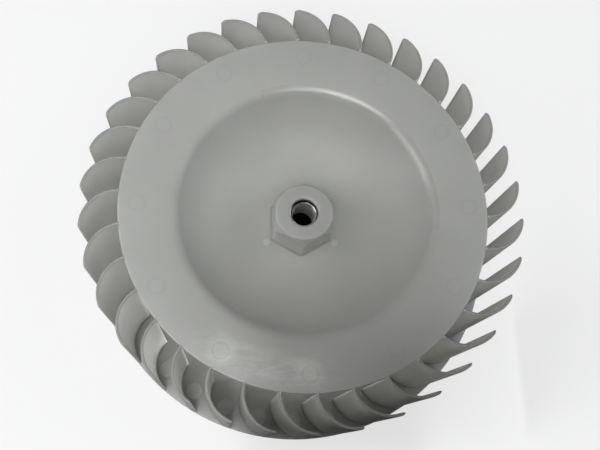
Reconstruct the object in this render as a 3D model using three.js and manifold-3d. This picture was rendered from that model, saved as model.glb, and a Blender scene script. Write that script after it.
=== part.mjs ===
// Blower motor wheel: a forward-curved centrifugal impeller, 8 in across and 2-1/2 in deep.
// Millimetres, +Z up. The wheel stands on its inlet ring at Z = 0 with the hub's face up, and
// its axis is the Z axis.
import * as THREE from 'three';
import * as BufferGeometryUtils from 'three/addons/utils/BufferGeometryUtils.js';
import Module from 'manifold-3d';

const wasm = await Module();
wasm.setup();

// ---- Driving dimensions -------------------------------------------------------------------
const WHEEL_RADIUS = 101.6;
const WHEEL_DEPTH = 63.5;

const BLADE_COUNT = 34;
const BLADE_THICKNESS = 1.4;
const BLADE_CURVE_RADIUS = 16.9;        // convex face of the blade's section
const BLADE_ROOT_DEG = -94.5;           // where the section's arc starts, at the backplate's rim
const BLADE_TIP_DEG = -0.5;             // and where it ends, square to the radius
const BLADE_TIP_LEAD = 0.4;             // the curve's centre lies this far ahead of the radius
const BLADE_PHASE_DEG = -3.3;           // first blade's tip, from +X
const BLADE_ARC_STEPS = 9;

const BLADE_TIP_TRIM = 1.5;             // degrees by which the tip's two edges are eased
const BLADE_TIP_PROUD = 0.8;            // the blades' free ends stand this far above the rim

const RING_INNER_RADIUS = 78.5;
const RING_THICKNESS = 2;

const PLATE_THICKNESS = 2.4;
const PLATE_RIM_RADIUS = 84.5;
const PLATE_RIM_Z = WHEEL_DEPTH - BLADE_TIP_PROUD;
// The dish, by radius and drop below the rim: a conical flange, a rounded shoulder, and a bowl
// that runs out level at the flat floor round the hub.
const SHOULDER = { r: 59.6, drop: 4.3, round: 8, steps: 5 };
const FLOOR = { r: 18, drop: 30 };
const BOWL_STEPS = 11;

const HUB_FLATS = 27.6;                 // across the hexagon's flats
const HUB_NOSE_DROP = 11.8;             // the hub's face lies this far below the rim
const HUB_NOSE_RADIUS = 13.5;           // the nose is turned round
const HUB_NOSE_EDGE = 0.4;              // the nose's eased edge
const HUB_CONE_LENGTH = 4;              // the hexagon's corners run out over this length
const HUB_MOUTH_RADIUS = 6.65;
const HUB_LIP = 2.2;                    // plastic over the insert's upper end
const HUB_STEPS = 48;

const INSERT_RADIUS = 8.6;
const INSERT_BORE_RADIUS = 5.4;         // minor radius of a 1/2-13 thread
const INSERT_CHAMFER = 0.9;
const INSERT_STEPS = 36;

const FIT_GAP = 0.15;                   // clearance that keeps neighbouring solids apart
const CUT_MARGIN = 1;                   // how far a cutting shape runs past the piece it trims
const ROUND_STEPS = 2 * BLADE_COUNT;    // facets round the plate and the ring

// ---- Materials ----------------------------------------------------------------------------
const polypropylene = new THREE.MeshStandardMaterial({
  color: new THREE.Color().setRGB(0.66, 0.67, 0.65), roughness: 0.45, metalness: 0 });
const steel = new THREE.MeshStandardMaterial({
  color: new THREE.Color().setRGB(0.5, 0.5, 0.5), roughness: 0.3, metalness: 1 });

// ---- Helpers ------------------------------------------------------------------------------
const radians = THREE.MathUtils.degToRad;
const onCircle = (x, y, radius, degrees) => new THREE.Vector2(
  x + radius * Math.cos(radians(degrees)), y + radius * Math.sin(radians(degrees)));

// The points of an arc that rounds the corner between two straight lines.
function roundedCorner(before, corner, after, radius, steps) {
  const back = before.clone().sub(corner).normalize();
  const ahead = after.clone().sub(corner).normalize();
  const half = back.angleTo(ahead) / 2;
  const centre = back.clone().add(ahead).normalize().multiplyScalar(radius / Math.sin(half)).add(corner);
  const first = back.clone().multiplyScalar(radius / Math.tan(half)).add(corner).sub(centre);
  const turn = Math.sign(back.cross(ahead)) * (2 * half - Math.PI);
  const points = [];
  for (let i = 0; i <= steps; i += 1) {
    points.push(first.clone().rotateAround(new THREE.Vector2(), turn * i / steps).add(centre));
  }
  return points;
}

// A turned solid about Z from an anticlockwise outline of [radius, z] points.
function turned(outline, steps = ROUND_STEPS) {
  const points = outline.map(([r, z]) => new THREE.Vector2(r, z));
  if (outline[0][0] > 0) points.push(points[0].clone());
  const geometry = new THREE.LatheGeometry(points, steps);
  geometry.rotateX(Math.PI / 2);
  return geometry;
}

function toSolid(geometry) {
  const bare = geometry.clone();
  bare.deleteAttribute('normal');
  bare.deleteAttribute('uv');
  const merged = BufferGeometryUtils.mergeVertices(bare, 1e-4);
  const index = Array.from(merged.index.array);
  const triangles = [];
  for (let i = 0; i < index.length; i += 3) {
    const [a, b, c] = index.slice(i, i + 3);
    if (a !== b && b !== c && c !== a) triangles.push(a, b, c);
  }
  return new wasm.Manifold(new wasm.Mesh({
    numProp: 3,
    vertProperties: new Float32Array(merged.attributes.position.array),
    triVerts: new Uint32Array(triangles),
  }));
}

function toGeometry(solid) {
  const mesh = solid.getMesh();
  const geometry = new THREE.BufferGeometry();
  geometry.setAttribute('position', new THREE.BufferAttribute(mesh.vertProperties.slice(), 3));
  geometry.setIndex(new THREE.BufferAttribute(mesh.triVerts.slice(), 1));
  geometry.computeVertexNormals();
  return geometry;
}

function addPart(name, geometry, material) {
  const mesh = new THREE.Mesh(geometry, material);
  mesh.name = name;
  wheel.add(mesh);
  return mesh;
}

// ---- Sub-parts ----------------------------------------------------------------------------
// The dish's upper face from the rim to the axis, as points of radius and height.
function dishLine() {
  const rim = new THREE.Vector2(PLATE_RIM_RADIUS, PLATE_RIM_Z);
  const shoulder = new THREE.Vector2(SHOULDER.r, PLATE_RIM_Z - SHOULDER.drop);
  const floor = new THREE.Vector2(FLOOR.r, PLATE_RIM_Z - FLOOR.drop);
  const bowlRadius = shoulder.distanceToSquared(floor) / (2 * (shoulder.y - floor.y));
  const bowlSweep = Math.asin((shoulder.x - floor.x) / bowlRadius);
  const bowl = [];
  for (let i = 1; i <= BOWL_STEPS; i += 1) {
    const angle = bowlSweep * (1 - i / BOWL_STEPS);
    const rise = bowlRadius * (1 - Math.cos(angle));
    bowl.push(new THREE.Vector2(floor.x + bowlRadius * Math.sin(angle), floor.y + rise));
  }
  const bend = roundedCorner(rim, shoulder, bowl[0], SHOULDER.round, SHOULDER.steps);
  return [rim, ...bend, ...bowl, new THREE.Vector2(0, floor.y)];
}

// The lower face follows the upper one at the sheet's thickness, measured square to the slope.
function backplateGeometry() {
  const upper = dishLine();
  const last = upper.length - 1;
  const lower = upper.map((point, i) => {
    if (i === 0 || i === last) return new THREE.Vector2(point.x, point.y - PLATE_THICKNESS);
    const inward = upper[i + 1].clone().sub(upper[i - 1]).normalize();
    return new THREE.Vector2(-inward.y, inward.x).multiplyScalar(PLATE_THICKNESS).add(point);
  });
  return turned([...lower.reverse(), ...upper].map((point) => point.toArray()));
}

function inletRingGeometry() {
  return turned([
    [RING_INNER_RADIUS, 0], [WHEEL_RADIUS, 0],
    [WHEEL_RADIUS, RING_THICKNESS], [RING_INNER_RADIUS, RING_THICKNESS],
  ]);
}

// A hexagon whose corners are turned down to a round nose, bored for the insert.
function hubGeometry() {
  const floorZ = PLATE_RIM_Z - FLOOR.drop;
  const noseZ = PLATE_RIM_Z - HUB_NOSE_DROP;
  const edgeZ = noseZ - HUB_NOSE_EDGE;
  const cornerRadius = HUB_FLATS / 2 / Math.cos(Math.PI / 6);
  const corners = [30, 90, 150, 210, 270, 330].map((degrees) => onCircle(0, 0, cornerRadius, degrees));
  const prism = new THREE.ExtrudeGeometry(new THREE.Shape(corners),
    { depth: noseZ - floorZ + 2 * CUT_MARGIN, bevelEnabled: false });
  prism.translate(0, 0, floorZ - CUT_MARGIN);
  const blankRadius = cornerRadius + CUT_MARGIN;
  const conePerRadius = HUB_CONE_LENGTH / (cornerRadius - HUB_NOSE_RADIUS);
  const pocketRadius = INSERT_RADIUS + FIT_GAP;
  const blank = turned([
    [pocketRadius, floorZ], [blankRadius, floorZ],
    [blankRadius, edgeZ - (blankRadius - HUB_NOSE_RADIUS) * conePerRadius],
    [HUB_NOSE_RADIUS, edgeZ], [HUB_NOSE_RADIUS - HUB_NOSE_EDGE, noseZ],
    [HUB_MOUTH_RADIUS, noseZ], [HUB_MOUTH_RADIUS, noseZ - HUB_LIP],
    [pocketRadius, noseZ - HUB_LIP],
  ], HUB_STEPS);
  return toGeometry(toSolid(prism).intersect(toSolid(blank)));
}

// The steel sleeve, its thread given by a plain bore at the minor diameter.
function insertGeometry() {
  const lowZ = PLATE_RIM_Z - FLOOR.drop + FIT_GAP;
  const highZ = PLATE_RIM_Z - HUB_NOSE_DROP - HUB_LIP - FIT_GAP;
  return turned([
    [INSERT_BORE_RADIUS, lowZ], [INSERT_RADIUS, lowZ], [INSERT_RADIUS, highZ],
    [INSERT_BORE_RADIUS + INSERT_CHAMFER, highZ], [INSERT_BORE_RADIUS, highZ - INSERT_CHAMFER],
  ], INSERT_STEPS);
}

// One blade with its tip on +X: a curved strip of even thickness, straight along the axis.
function bladeGeometry() {
  const centreX = WHEEL_RADIUS - BLADE_CURVE_RADIUS;
  const arc = (radius, from, to) => {
    const points = [];
    for (let i = 0; i <= BLADE_ARC_STEPS; i += 1) {
      const degrees = from + (to - from) * i / BLADE_ARC_STEPS;
      points.push(onCircle(centreX, BLADE_TIP_LEAD, radius, degrees));
    }
    return points;
  };
  const trimmed = BLADE_TIP_DEG - BLADE_TIP_TRIM;
  const middleRadius = BLADE_CURVE_RADIUS - BLADE_THICKNESS / 2;
  const section = new THREE.Shape([
    ...arc(BLADE_CURVE_RADIUS, BLADE_ROOT_DEG, trimmed),
    onCircle(centreX, BLADE_TIP_LEAD, middleRadius, BLADE_TIP_DEG),
    ...arc(BLADE_CURVE_RADIUS - BLADE_THICKNESS, trimmed, BLADE_ROOT_DEG),
  ]);
  const geometry = new THREE.ExtrudeGeometry(section,
    { depth: WHEEL_DEPTH - RING_THICKNESS, bevelEnabled: false });
  geometry.translate(0, 0, RING_THICKNESS);
  return geometry;
}

// ---- Assembly -----------------------------------------------------------------------------
const wheel = new THREE.Group();
addPart('backplate', backplateGeometry(), polypropylene);
addPart('hub', hubGeometry(), polypropylene);
addPart('threaded_insert', insertGeometry(), steel);
addPart('inlet_ring', inletRingGeometry(), polypropylene);
const blade = bladeGeometry();
for (let i = 0; i < BLADE_COUNT; i += 1) {
  const number = String(i + 1).padStart(2, '0');
  const mesh = addPart(`blade_${number}`, blade, polypropylene);
  mesh.rotation.z = radians(BLADE_PHASE_DEG + 360 * i / BLADE_COUNT);
}

export default wheel;
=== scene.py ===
# Looks of the blower motor wheel: a one-piece moulding of natural polypropylene with a steel
# threaded insert. Metres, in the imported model's frame: +Z up, the inlet ring on the floor.
import math

import bpy
from mathutils import Matrix, Vector


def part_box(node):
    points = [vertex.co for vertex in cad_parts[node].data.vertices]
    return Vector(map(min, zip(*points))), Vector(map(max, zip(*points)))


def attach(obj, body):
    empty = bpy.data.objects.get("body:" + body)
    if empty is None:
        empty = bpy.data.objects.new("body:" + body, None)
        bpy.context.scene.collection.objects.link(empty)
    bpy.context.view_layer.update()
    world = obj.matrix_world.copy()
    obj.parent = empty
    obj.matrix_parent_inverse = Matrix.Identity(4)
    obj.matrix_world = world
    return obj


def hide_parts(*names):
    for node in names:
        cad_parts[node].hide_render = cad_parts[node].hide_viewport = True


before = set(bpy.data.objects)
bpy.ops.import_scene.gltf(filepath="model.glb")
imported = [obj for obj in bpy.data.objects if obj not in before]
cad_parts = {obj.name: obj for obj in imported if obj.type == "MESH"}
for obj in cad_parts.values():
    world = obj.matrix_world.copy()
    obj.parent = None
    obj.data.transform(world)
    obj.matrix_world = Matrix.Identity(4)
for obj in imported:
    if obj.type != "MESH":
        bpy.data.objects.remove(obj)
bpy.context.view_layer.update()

MM = 0.001
TAU = 2 * math.pi
ROUND_STEPS = 272                       # facets round the plate and the ring

# ---- Sizes, from the frame ---------------------------------------------------------------
RING_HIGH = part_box("inlet_ring")[1]
PLATE_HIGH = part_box("backplate")[1]
HUB_LOW, HUB_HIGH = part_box("hub")
INSERT_LOW, INSERT_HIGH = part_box("threaded_insert")
BLADE_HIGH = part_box("blade_01")[1]

WHEEL_RADIUS = RING_HIGH.x
RIM_RADIUS, RIM_Z = PLATE_HIGH.x, PLATE_HIGH.z
FLOOR_Z = HUB_LOW.z
FLATS = HUB_HIGH.x                      # half the distance across the hexagon's flats
INSERT_RADIUS = INSERT_HIGH.x
BLADE_NAMES = sorted(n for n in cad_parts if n.startswith("blade_"))

# ---- Sizes that the frame's boxes don't give ---------------------------------------------
BLADE_PITCH = TAU / len(BLADE_NAMES)
BLADE_PHASE = math.radians(-3.3)        # first blade's tip, from +X
BLADE_CURVE = 16.9 * MM                 # convex face of the blade's section
BLADE_THICKNESS = 1.4 * MM
BLADE_LEAD = 0.4 * MM                   # the curve's centre lies this far ahead of the radius
BLADE_ROOT = math.radians(-96.5)        # where the section's arc starts and ends
BLADE_TIP = math.radians(-0.4)
RING_INNER = 78.5 * MM
PLATE_THICKNESS = 2.4 * MM
SHOULDER_RADIUS = 59.6 * MM
SHOULDER_DROP = 4.3 * MM
SHOULDER_ROUND = 8 * MM
DISH_FLOOR_RADIUS = 18 * MM
NOSE_RADIUS = 13.5 * MM
MOUTH_RADIUS = 6.65 * MM
THREAD_PITCH = 25.4 / 13 * MM
THREAD_MINOR = 5.4 * MM
THREAD_MAJOR = 6.3 * MM
MARK_COUNT = 12                         # flange marks
MARK_REACH = 76.2 * MM                  # from the axis to a mark's middle
MARK_RADIUS = 3.2 * MM

# ---- Light -------------------------------------------------------------------------------
# The studio's tent, as (direction, cosines where its light starts and is full, brightness).
TENT = [
    ((0.05, 0.05, 1.0), 0.92, 0.99, 0.8),       # ceiling
    ((0.0, -0.70, 0.71), 0.92, 0.99, 2.8),      # the near side
    ((0.78, 0.05, 0.62), 0.90, 0.99, 1.6),      # the right
    ((0.95, 0.20, 0.24), 0.90, 0.975, 0.5),     # right-hand window, low down
    ((-0.90, -0.10, 0.24), 0.93, 0.98, 0.9),    # left-hand window, low down
]
TENT_DIM = 0.03

# Black cards at the wheel's near right, as (name, one foot, other foot, height).
DARK_CARDS = [
    ("near_card", (-0.030, -0.115), (0.060, -0.115), 0.24),
    ("side_card", (0.115, -0.105), (0.115, -0.045), 0.18),
]


# ---- Mesh helpers ------------------------------------------------------------------------
def new_object(name, verts, faces, smooth=True):
    mesh = bpy.data.meshes.new(name)
    mesh.from_pydata([tuple(v) for v in verts], [], faces)
    mesh.validate()
    mesh.update()
    for polygon in mesh.polygons:
        polygon.use_smooth = smooth
    obj = bpy.data.objects.new(name, mesh)
    bpy.context.scene.collection.objects.link(obj)
    return obj


def rounded(points, radii, steps=4):
    """A closed outline with each corner of a radius above 0 replaced by an arc of that radius."""
    out = []
    count = len(points)
    for i, radius in enumerate(radii):
        corner = Vector(points[i])
        if radius <= 0:
            out.append(tuple(corner))
            continue
        before = (Vector(points[i - 1]) - corner).normalized()
        after = (Vector(points[(i + 1) % count]) - corner).normalized()
        half = before.angle(after) / 2
        reach = radius / math.tan(half)
        centre = corner + (before + after).normalized() * radius / math.sin(half)
        start = corner + before * reach - centre
        turn = math.pi - 2 * half
        side = 1 if start.x * (corner - centre).y - start.y * (corner - centre).x > 0 else -1
        for k in range(steps + 1):
            out.append(tuple(centre + rotated(start, side * turn * k / steps)))
    return out


def rotated(v, angle):
    """A point of the plane turned about the origin."""
    c, s = math.cos(angle), math.sin(angle)
    return Vector((v.x * c - v.y * s, v.x * s + v.y * c))


def circle(radius, z, steps):
    """Points evenly spaced round the axis at one height."""
    return [(radius * math.cos(TAU * i / steps), radius * math.sin(TAU * i / steps), z)
            for i in range(steps)]


def bands(rings, steps):
    """Quads that join each ring of points to the next; a ring is given by its first point's number."""
    return [[a + i, a + (i + 1) % steps, b + (i + 1) % steps, b + i]
            for a, b in zip(rings, rings[1:]) for i in range(steps)]


def turned(name, outline, steps):
    """A solid of revolution from a closed outline of (radius, z); points on the axis are poles."""
    verts, rings = [], []
    for r, z in outline:
        if r < 1e-7:
            rings.append([len(verts)] * steps)
            verts.append((0, 0, z))
            continue
        rings.append(list(range(len(verts), len(verts) + steps)))
        verts += circle(r, z, steps)
    faces = []
    for a, b in zip(rings, rings[1:] + rings[:1]):
        for i in range(steps):
            j = (i + 1) % steps
            face = list(dict.fromkeys([a[i], a[j], b[j], b[i]]))
            if len(face) > 2:
                faces.append(face)
    return new_object(name, verts, faces)


def stacked(name, rows):
    """A solid from rows of points, all alike in number, with its two ends closed by strips."""
    count = len(rows[0])
    verts = [p for row in rows for p in row]
    faces = []
    for k in range(len(rows) - 1):
        for i in range(count):
            j = (i + 1) % count
            faces.append([k * count + i, k * count + j, (k + 1) * count + j, (k + 1) * count + i])
    top = (len(rows) - 1) * count
    for i in range(count // 2 - 1):
        a, b, c, d = i, i + 1, count - 2 - i, count - 1 - i
        faces.append([d, c, b, a])
        faces.append([top + a, top + b, top + c, top + d])
    return new_object(name, verts, faces)


def placed(obj, slot_name, material, *nodes):
    """Gives a finished piece its material and its body, and hides the nodes it stands for; the slot name is
    not used.
    """
    obj.data.materials.clear()
    obj.data.materials.append(material)
    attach(obj, "root")
    if nodes:
        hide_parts(*nodes)


# ---- Materials ---------------------------------------------------------------------------
class Nodes:
    """A material's node tree, written as calls."""

    def __init__(self, name="", tree=None):
        if tree is None:
            self.material = bpy.data.materials.new(name)
            self.material.use_nodes = True
            tree = self.material.node_tree
        self.tree = tree
        self.tree.nodes.clear()

    def add(self, kind, inputs=None, **settings):
        node = self.tree.nodes.new(kind)
        for key, value in settings.items():
            setattr(node, key, value)
        for key, value in (inputs or {}).items():
            socket = node.inputs[key]
            if isinstance(value, bpy.types.NodeSocket):
                self.tree.links.new(value, socket)
            else:
                socket.default_value = value
        return node

    def math(self, operation, a, b=0.0, c=0.0):
        return self.add("ShaderNodeMath", {0: a, 1: b, 2: c}, operation=operation).outputs[0]

    def length(self, x, y):
        return self.math("SQRT", self.math("ADD", self.math("POWER", x, 2.0), self.math("POWER", y, 2.0)))

    def away(self, value, middle):
        return self.math("ABSOLUTE", self.math("SUBTRACT", value, middle))

    def ramp(self, value, start, full, top=1.0, bottom=0.0, smooth=False):
        """From bottom where value is at start to top where it is at full."""
        kind = "SMOOTHSTEP" if smooth else "LINEAR"
        return self.add("ShaderNodeMapRange", {"Value": value, "From Min": start, "From Max": full,
                                               "To Min": bottom, "To Max": top},
                        interpolation_type=kind).outputs["Result"]

    def noise(self, point, scale, detail, roughness=0.5):
        return self.add("ShaderNodeTexNoise", {"Vector": point, "Scale": scale, "Detail": detail,
                                               "Roughness": roughness}).outputs["Fac"]

    def two_tone(self, value, low, low_colour, high, high_colour):
        """A colour ramp between two stops, each a position and a colour."""
        node = self.add("ShaderNodeValToRGB", {"Fac": value})
        stops = node.color_ramp.elements
        stops[0].position, stops[0].color = low, (*low_colour, 1)
        stops[1].position, stops[1].color = high, (*high_colour, 1)
        return node.outputs["Color"]

    def finish(self, shader, inputs):
        """The shader, joined to the material's output."""
        surface = self.add(shader, inputs).outputs[0]
        self.add("ShaderNodeOutputMaterial", {"Surface": surface})
        return self.material


def flange_haze_sheen_and_shade(n, point, radius, bearing):
    """How much paler the flange is: haze, streaks and halos where it is rubbed, partly painted sheen, less
    painted shade along the marks' lines.
    """
    haze_sheen_bearing, haze_sheen_radius = math.radians(-105), 75.5 * MM
    # Painted sheen: the patch is paler partly from rubbed haze and partly as a painted soft reflection.
    patch = n.math("MULTIPLY",
                   n.ramp(n.away(bearing, haze_sheen_bearing), 0.55, 0.2, smooth=True),
                   n.ramp(n.away(radius, haze_sheen_radius), 11.5 * MM, 3 * MM, smooth=True))
    stretched = n.add("ShaderNodeVectorMath", {0: point, 1: (0.8, 2.6, 1.0)}, operation="MULTIPLY")
    streaks = n.noise(stretched.outputs["Vector"], 120.0, 5.0, 0.7)
    haze = n.math("MULTIPLY", patch, n.ramp(streaks, 0.40, 0.72, 0.34, 0.02))
    # Each flange mark has a line of painted shade round it, and a pale halo, partly painted sheen, where
    # the flange is rubbed.
    half_step = math.pi / MARK_COUNT
    local = n.math("WRAP", bearing, half_step, -half_step)
    across = n.math("MULTIPLY", radius, n.math("SINE", local))
    outward = n.math("SUBTRACT", n.math("MULTIPLY", radius, n.math("COSINE", local)), MARK_REACH)
    spread = n.length(across, outward)
    line = n.ramp(n.away(spread, MARK_RADIUS + 0.35 * MM), 0.6 * MM, 0.1 * MM, 0.16)
    line = n.math("MULTIPLY", line, n.math("MULTIPLY_ADD", patch, 0.6, 0.4))
    halo = n.math("MULTIPLY", n.ramp(spread, 8.5 * MM, 4.0 * MM, 0.20), patch)
    return n.math("SUBTRACT", n.math("ADD", haze, halo), line)


def polypropylene(name, depth, tone):
    """The wheel's plastic; depth is how much of its colour comes from below the surface."""
    n = Nodes(name)
    point = n.add("ShaderNodeTexCoord").outputs["Object"]
    axes = n.add("ShaderNodeSeparateXYZ", {0: point}).outputs
    radius = n.length(axes["X"], axes["Y"])
    bearing = n.math("ARCTAN2", axes["Y"], axes["X"])
    cloud = n.noise(point, 38.0, 3.0, 0.55)
    grain = n.noise(point, 900.0, 3.0, 0.6)
    ripple = n.noise(point, 120.0, 2.0)
    tint = n.two_tone(cloud, 0.3, (0.500, 0.504, 0.485), 0.7, (0.530, 0.534, 0.515))
    # The shoulder of the dish is burnished along its far right.
    burnish = n.math("MULTIPLY",
                     n.ramp(n.away(radius, SHOULDER_RADIUS + 1.2 * MM), 4.0 * MM, 1.5 * MM, 0.29),
                     n.ramp(n.away(bearing, math.radians(50)), 1.5, 0.9, smooth=True))
    gloss = n.math("SUBTRACT", n.ramp(ripple, 0.0, 1.0, 0.54, 0.50), burnish)
    # Painted shade: the blades' free edges, lit strongly from above, are painted darker than their faces.
    outside = n.math("GREATER_THAN", radius, RIM_RADIUS + 0.4 * MM)
    edge = n.ramp(axes["Z"], BLADE_HIGH.z - 0.9 * MM, BLADE_HIGH.z - 0.3 * MM, 0.34)
    shade = n.math("SUBTRACT", n.math("ADD", tone, flange_haze_sheen_and_shade(n, point, radius, bearing)),
                   n.math("MULTIPLY", outside, edge))
    colour = n.add("ShaderNodeVectorMath", {0: tint, "Scale": shade}, operation="SCALE")
    relief = n.math("ADD", n.math("MULTIPLY", grain, 0.25), ripple)
    bump = n.add("ShaderNodeBump", {"Height": relief, "Strength": 0.12, "Distance": 0.0004})
    return n.finish("ShaderNodeBsdfPrincipled", {
        "Base Color": colour.outputs["Vector"], "Roughness": gloss, "IOR": 1.49,
        "Subsurface Weight": depth, "Subsurface Radius": (1.0, 1.0, 0.9),
        "Subsurface Scale": 0.0035, "Specular IOR Level": 1.0, "Normal": bump.outputs["Normal"]})


def insert_steel():
    """Bright steel, with painted shade along the thread's groove and painted highlights along its crests.
    """
    n = Nodes("insert_steel")
    point = n.add("ShaderNodeTexCoord").outputs["Object"]
    axes = n.add("ShaderNodeSeparateXYZ", {0: point}).outputs
    turn = n.math("DIVIDE", n.math("ARCTAN2", axes["Y"], axes["X"]), TAU)
    phase = n.math("FRACT", n.math("ADD", n.math("DIVIDE", axes["Z"], THREAD_PITCH), turn))
    # Painted light: the groove is near-black for its shade, the crests near-white for their highlights.
    crest = n.two_tone(n.math("PINGPONG", phase, 0.5), 0.24, (0.02, 0.02, 0.02), 0.34, (0.85, 0.85, 0.83))
    wear = n.noise(point, 700.0, 4.0)
    bump = n.add("ShaderNodeBump", {"Height": wear, "Strength": 0.1, "Distance": 0.0001})
    return n.finish("ShaderNodeBsdfPrincipled", {
        "Base Color": crest, "Metallic": 0.75, "Roughness": n.ramp(wear, 0.0, 1.0, 0.40, 0.22),
        "Normal": bump.outputs["Normal"]})


# Painted shade: a near-black disc stands for the deep shade at the bottom of the bore.
def painted_shade_bottom():
    return Nodes("hole_bottom_painted_shade").finish("ShaderNodeBsdfPrincipled", {
        "Base Color": (0.004, 0.004, 0.004, 1), "Roughness": 0.9, "Specular IOR Level": 0.05})


def pale_floor():
    return Nodes("pale_floor").finish("ShaderNodeBsdfPrincipled", {
        "Base Color": (0.25, 0.25, 0.25, 1), "Roughness": 0.9, "Specular IOR Level": 0.0,
        "Emission Color": (1, 1, 1, 1), "Emission Strength": 0.70})


# ---- Pieces ------------------------------------------------------------------------------
def dish_line():
    """The backplate's upper face from the rim to the axis, as (radius, z): flange, bowl and floor."""
    shoulder = Vector((SHOULDER_RADIUS, RIM_Z - SHOULDER_DROP))
    floor_edge = Vector((DISH_FLOOR_RADIUS, FLOOR_Z))
    bowl_radius = (shoulder - floor_edge).length_squared / (2 * (shoulder.y - floor_edge.y))
    sweep = math.asin((shoulder.x - floor_edge.x) / bowl_radius)
    bowl = [(floor_edge.x + bowl_radius * math.sin(a), floor_edge.y + bowl_radius * (1 - math.cos(a)))
            for a in (sweep * (1 - k / 32) for k in range(3, 33))]
    corners = [(RIM_RADIUS, RIM_Z), tuple(shoulder)] + bowl + [(0, FLOOR_Z)]
    radii = [0, SHOULDER_ROUND] + [0] * (len(corners) - 2)
    return rounded(corners, radii, 12)


def backplate(material):
    """The dish: its upper face, the same face moved down by the wall, and an eased rim between."""
    upper = dish_line()
    lower = []
    for i, (r, z) in enumerate(upper):
        a, b = upper[max(i - 1, 0)], upper[min(i + 1, len(upper) - 1)]
        along = Vector((b[0] - a[0], b[1] - a[1])).normalized()
        lower.append((max(r - along.y * PLATE_THICKNESS, 0), z + along.x * PLATE_THICKNESS))
    lower[0] = (RIM_RADIUS, RIM_Z - PLATE_THICKNESS)
    lower[-1] = (0, upper[-1][1] - PLATE_THICKNESS)
    edge = 0.7 * MM
    rim = [(RIM_RADIUS - edge + edge * math.sin(a), RIM_Z - edge - 0.05 * MM + edge * math.cos(a))
           for a in (k * math.pi / 10 for k in range(6))]
    upper = [p for p in upper if p[0] < RIM_RADIUS - edge * 1.3]
    outline = upper[::-1] + rim + lower[:1] + [p for p in lower[1:] if p[0] < RIM_RADIUS - 0.3 * MM]
    dish = turned("backplate_dish", outline[::-1], ROUND_STEPS)
    placed(dish, "polypropylene", material, "backplate")


def flange_marks(material):
    """Ejector-pin marks: faint low round rings, evenly spaced along the flange."""
    line = dish_line()
    i = max(j for j, p in enumerate(line) if p[0] >= MARK_REACH)
    a, b = line[i], line[i + 1]
    z = a[1] + (b[1] - a[1]) * (MARK_REACH - a[0]) / (b[0] - a[0])
    slope = math.atan2(a[1] - b[1], a[0] - b[0])
    height, width = 0.035 * MM, 0.55 * MM
    radius = MARK_RADIUS - width
    outline = [(0, -0.4 * MM), (radius + width, -0.4 * MM), (radius + width, -0.01 * MM),
               (radius + width * 0.5, height * 0.7), (radius, height), (radius - width * 0.5, height * 0.7),
               (radius - width, 0.005 * MM), (0, 0.005 * MM)]
    for k in range(MARK_COUNT):
        mark = turned("flange_mark_%02d" % (k + 1), outline, 48)
        mark.matrix_world = (Matrix.Rotation(TAU * k / MARK_COUNT, 4, "Z")
                             @ Matrix.Translation((MARK_REACH, 0, z)) @ Matrix.Rotation(-slope, 4, "Y"))
        placed(mark, "polypropylene", material)


def hub(material):
    """A hexagon with eased corners under a turned nose, with a plain mouth over the insert."""
    steps = 288
    top = HUB_HIGH.z
    sixth = math.radians(60)
    blend = 0.08 * MM

    def hex_radius(angle):
        """The hexagon with its corners cut round, the two blended softly."""
        flat = FLATS / math.cos((angle + sixth / 2) % sixth - sixth / 2)
        cut = FLATS / math.cos(sixth / 2) - 0.25 * MM
        return -math.log(math.exp(-flat / blend) + math.exp(-cut / blend)) * blend

    corner = FLATS / math.cos(sixth / 2) + 0.3 * MM
    # Rows of the outer face as (z, largest turned radius, how far the foot spreads).
    rows = [(FLOOR_Z - 1 * MM, corner + 1 * MM, 0.9 * MM), (FLOOR_Z, corner + 1 * MM, 0.9 * MM),
            (FLOOR_Z + 0.15 * MM, corner + 1 * MM, 0.55 * MM),
            (FLOOR_Z + 0.45 * MM, corner + 1 * MM, 0.2 * MM),
            (FLOOR_Z + 1.0 * MM, corner + 1 * MM, 0)]
    cone, edge = 6.0 * MM, 0.5 * MM
    for k in range(13):
        z = top - cone + (cone - edge) * k / 12
        share = (top - z) / cone
        rows.append((z, NOSE_RADIUS + (corner - NOSE_RADIUS) * share ** 1.15, 0))
    for k in range(1, 5):
        a = k * math.pi / 8
        rows.append((top - edge + edge * math.sin(a), NOSE_RADIUS - edge * (1 - math.cos(a)), 0))
    verts, rings = [], []

    def add_ring(z, radius_of):
        rings.append(len(verts))
        for i in range(steps):
            angle = TAU * i / steps
            r = radius_of(angle)
            verts.append((r * math.cos(angle), r * math.sin(angle), z))

    for z, limit, spread in rows:
        add_ring(z, lambda angle: min(hex_radius(angle) + spread, limit))
    ledge = INSERT_HIGH.z + 0.1 * MM
    inner = [(MOUTH_RADIUS + 2.5 * MM, top), (MOUTH_RADIUS + 1.3 * MM, top),
             (MOUTH_RADIUS + 0.75 * MM, top - 0.08 * MM), (MOUTH_RADIUS + 0.35 * MM, top - 0.28 * MM),
             (MOUTH_RADIUS + 0.1 * MM, top - 0.6 * MM), (MOUTH_RADIUS, top - 1.1 * MM),
             (MOUTH_RADIUS, ledge), (MOUTH_RADIUS + 1.6 * MM, ledge),
             (MOUTH_RADIUS + 1.6 * MM, FLOOR_Z - 1 * MM)]
    for r, z in inner:
        add_ring(z, lambda angle: r)
    boss = new_object("hub_boss", verts, bands(rings + rings[:1], steps))
    placed(boss, "polypropylene", material, "hub")


def floor_pins(material):
    """Three low round pin marks on the dish's floor, off alternate corners of the hexagon."""
    radius, height, reach = 1.9 * MM, 0.22 * MM, 19.2 * MM
    outline = rounded([(0, -0.5 * MM), (radius, -0.5 * MM), (radius, height), (0, height)],
                      [0, 0, 0.15 * MM, 0])
    for k in range(3):
        angle = math.radians(90 + 120 * k)
        pin = turned("floor_pin_%d" % (k + 1), outline, 32)
        pin.location = (reach * math.cos(angle), reach * math.sin(angle), FLOOR_Z)
        placed(pin, "polypropylene", material)


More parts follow.
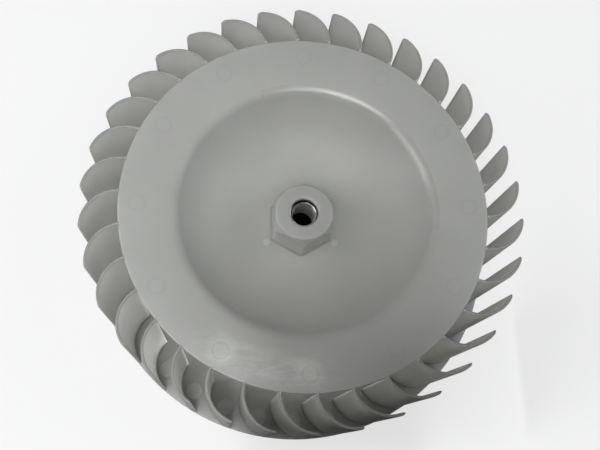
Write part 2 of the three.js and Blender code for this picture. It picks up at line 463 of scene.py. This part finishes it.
def thread(material, dark):
    """The insert's bore: a left-hand 1/2-13 thread, closed at the bottom."""
    low, high = INSERT_LOW.z, INSERT_HIGH.z
    outer = INSERT_RADIUS - 0.3 * MM
    steps, rows_per_turn = 120, 14
    rows = int((high - low) / THREAD_PITCH * rows_per_turn)
    verts, rings = [], []
    for k in range(rows + 1):
        z = low + (high - low) * k / rows
        fade = min(1.0, (high - z) / (0.9 * MM))
        rings.append(len(verts))
        for i in range(steps):
            phase = (z / THREAD_PITCH + i / steps) % 1.0
            crest = min(max(abs(phase - 0.5) * 2.6 - 0.3, 0.0), 1.0)
            r = (THREAD_MINOR + (THREAD_MAJOR - THREAD_MINOR) * crest) * fade + THREAD_MAJOR * (1 - fade)
            verts.append((r * math.cos(TAU * i / steps), r * math.sin(TAU * i / steps), z))
    for z in (high, low):
        rings.append(len(verts))
        verts += circle(outer, z, steps)
    faces = []
    for a, b in zip(rings, rings[1:] + rings[:1]):
        for i in range(steps):
            j = (i + 1) % steps
            faces.append([a + i, b + i, b + j, a + j])
    sleeve = new_object("threaded_sleeve", verts, faces)
    placed(sleeve, "insert_steel", material, "threaded_insert")
    outline = [(0, low + 0.1 * MM), (THREAD_MAJOR, low + 0.1 * MM), (THREAD_MAJOR, low + 0.6 * MM),
               (0, low + 0.3 * MM)]
    bottom = turned("sleeve_bottom", outline, 48)
    placed(bottom, "insert_steel", dark)


def inlet_ring(material):
    """A flat ring with eased edges."""
    e = 0.5 * MM
    outline = rounded([(RING_INNER, 0), (WHEEL_RADIUS, 0), (WHEEL_RADIUS, RING_HIGH.z),
                       (RING_INNER, RING_HIGH.z)], [e, e, e, e])
    ring = turned("inlet_ring_flat", outline, ROUND_STEPS)
    placed(ring, "polypropylene", material, "inlet_ring")


def ring_pads(material):
    """Ejector pads on the ring, one between each two blades: a flush disc in a shallow groove."""
    outline = [(0, -0.3 * MM), (4.1 * MM, -0.3 * MM), (4.1 * MM, 0), (3.9 * MM, 0.10 * MM),
               (3.4 * MM, 0.12 * MM), (3.1 * MM, 0.03 * MM), (2.8 * MM, 0.03 * MM),
               (2.55 * MM, 0.16 * MM), (2.3 * MM, 0.20 * MM), (0, 0.20 * MM)]
    reach = 93 * MM
    for k in range(len(BLADE_NAMES)):
        angle = BLADE_PHASE + BLADE_PITCH * (k + 0.66)
        pad = turned("ring_pad_%02d" % (k + 1), outline, 32)
        pad.location = (reach * math.cos(angle), reach * math.sin(angle), RING_HIGH.z)
        placed(pad, "polypropylene", material)


def blade_rows(angle):
    """Rows of a blade's section from the ring to its free end, turned to its place."""
    centre = Vector((WHEEL_RADIUS - BLADE_CURVE, BLADE_LEAD))
    middle = BLADE_CURVE - BLADE_THICKNESS / 2
    along = 26
    ease, corner, nose = 0.62 * MM, 1.6 * MM, 0.75 * MM
    low, high = RING_HIGH.z - 0.3 * MM, BLADE_HIGH.z
    levels = [low + (high - corner - low) * k / 8 for k in range(8)]
    levels += [high - corner + (corner - ease) * k / 5 for k in range(5)]
    levels += [high - ease + ease * math.sin(k * math.pi / 10) for k in range(6)]
    rows = []
    for z in levels:
        share = (z - low) / (high - low)
        half = (0.72 - 0.06 * share) * MM
        over = max(0.0, z - (high - ease))
        half -= ease - math.sqrt(max(ease ** 2 - over ** 2, 0))
        into = max(0.0, z - (high - corner))
        short = (corner - math.sqrt(max(corner ** 2 - into ** 2, 0))) / middle
        outer, inner = [], []
        for k in range(along + 1):
            a = BLADE_ROOT + (BLADE_TIP - short - BLADE_ROOT) * k / along
            back = (BLADE_TIP - short - a) * middle
            thin = math.sqrt(max(0.0, 1 - (1 - min(back / nose, 1)) ** 2)) * 0.75 + 0.25
            h = half * thin
            spoke = Vector((math.cos(a), math.sin(a)))
            outer.append(centre + spoke * (middle + h))
            inner.append(centre + spoke * (middle - h))
        row = [rotated(p, angle) for p in outer + inner[::-1]]
        rows.append([(p.x, p.y, z) for p in row])
    return rows


def blades(material):
    for k, name in enumerate(BLADE_NAMES):
        blade = stacked("vane" + name[-3:], blade_rows(BLADE_PHASE + BLADE_PITCH * k))
        placed(blade, "polypropylene", material, name)


# ---- Stage, light and camera -------------------------------------------------------------
def floor():
    """The pale floor and backdrop; their own glow keeps them pale without lighting the wheel."""
    size = 4.0
    verts = [(-size, -size, 0), (size, -size, 0), (size, size, 0), (-size, size, 0)]
    ground = new_object("floor", verts, [[0, 1, 2, 3]], smooth=False)
    ground.data.materials.append(pale_floor())
    glow_reach = bpy.data.collections.new("floor_glow_reach")
    glow_reach.objects.link(ground)
    ground.light_linking.receiver_collection = glow_reach
    backdrop(glow_reach)


def backdrop(glow_reach):
    """A pale wall that curves up from the floor far behind the wheel; it neither lights nor shades it."""
    profile = [(2.5, 0.0), (2.9, 0.03), (3.2, 0.15), (3.45, 0.4), (3.6, 0.8), (3.65, 1.4), (3.65, 5.0)]
    steps = 96
    verts = [point for r, z in profile for point in circle(r, z, steps)]
    wall = new_object("backdrop", verts, bands(range(0, len(verts), steps), steps))
    wall.data.materials.append(pale_floor())
    glow_reach.objects.link(wall)
    wall.light_linking.receiver_collection = glow_reach
    wall.visible_diffuse = False
    wall.visible_glossy = False
    wall.visible_transmission = False
    wall.visible_shadow = False


def dark_cards():
    """They shade the wheel's near right; the camera doesn't see them."""
    black = Nodes("black_card").finish("ShaderNodeBsdfDiffuse", {"Color": (0.01, 0.01, 0.01, 1)})
    for name, (x0, y0), (x1, y1), height in DARK_CARDS:
        corners = [(x0, y0, 0.01), (x1, y1, 0.01), (x1, y1, height), (x0, y0, height)]
        card = new_object(name, corners, [[0, 1, 2, 3]], smooth=False)
        card.data.materials.append(black)
        card.visible_camera = False


def area_light(name, place, aim, side, power):
    """A square lamp, which the camera doesn't see."""
    data = bpy.data.lights.new(name, "AREA")
    data.shape = "SQUARE"
    data.size = side
    data.energy = power
    light = bpy.data.objects.new(name, data)
    light.visible_camera = False
    light.location = place
    light.rotation_euler = (Vector(aim) - Vector(place)).to_track_quat("-Z", "Y").to_euler()
    bpy.context.scene.collection.objects.link(light)


def studio_world():
    """The tent's brightness by direction."""
    world = bpy.data.worlds.new("studio")
    world.use_nodes = True
    n = Nodes(tree=world.node_tree)
    direction = n.add("ShaderNodeTexCoord").outputs["Generated"]
    strength = TENT_DIM
    for axis, start, full, brightness in TENT:
        cosine = n.add("ShaderNodeVectorMath", {0: direction, 1: Vector(axis).normalized()},
                       operation="DOT_PRODUCT").outputs["Value"]
        strength = n.math("ADD", strength, n.ramp(cosine, start, full, brightness, smooth=True))
    sky = n.add("ShaderNodeBackground", {"Color": (0.97, 0.99, 1.0, 1), "Strength": strength})
    n.add("ShaderNodeOutputWorld", {"Surface": sky.outputs["Background"]})
    bpy.context.scene.world = world


def lights():
    centre = (0, 0, 0.04)
    area_light("window_left", (-0.32, -0.05, 0.35), centre, 0.27, 0.40)
    area_light("lamp_far", (-0.22, 0.22, 0.35), centre, 0.27, 0.08)
    area_light("lamp", (-0.19, -0.36, 0.94), centre, 0.40, 2.20)
    area_light("under_glow", (0, 0, 0.002), (0, 0, 1), 0.13, 0.08)
    studio_world()


def camera():
    """The wheel seen from above its near left, with a slight roll."""
    azimuth, elevation, roll = map(math.radians, (-18.4, 71.6, -18.2))
    target, distance = Vector((0, 0, 30.5 * MM)), 360 * MM
    back = Vector((math.sin(azimuth) * math.cos(elevation),
                   -math.cos(azimuth) * math.cos(elevation), math.sin(elevation)))
    data = bpy.data.cameras.new("camera")
    data.lens, data.sensor_width = 43.5, 36
    data.clip_start, data.clip_end = 0.01, 20
    cam = bpy.data.objects.new("camera", data)
    turn = (-back).to_track_quat("-Z", "Y").to_matrix().to_4x4()
    cam.matrix_world = Matrix.Translation(target + back * distance) @ turn @ Matrix.Rotation(-roll, 4, "Z")
    bpy.context.scene.collection.objects.link(cam)
    bpy.context.scene.camera = cam


bpy.context.scene.view_settings.view_transform = "Standard"
plastic = polypropylene("natural_polypropylene", 1.0, 1.0)
thin_plastic = polypropylene("thin_polypropylene", 0.0, 1.12)
backplate(plastic)
flange_marks(polypropylene("rubbed_polypropylene", 0.0, 1.22))
hub(plastic)
floor_pins(thin_plastic)
thread(insert_steel(), painted_shade_bottom())
inlet_ring(plastic)
ring_pads(thin_plastic)
blades(plastic)
floor()
dark_cards()
lights()
camera()
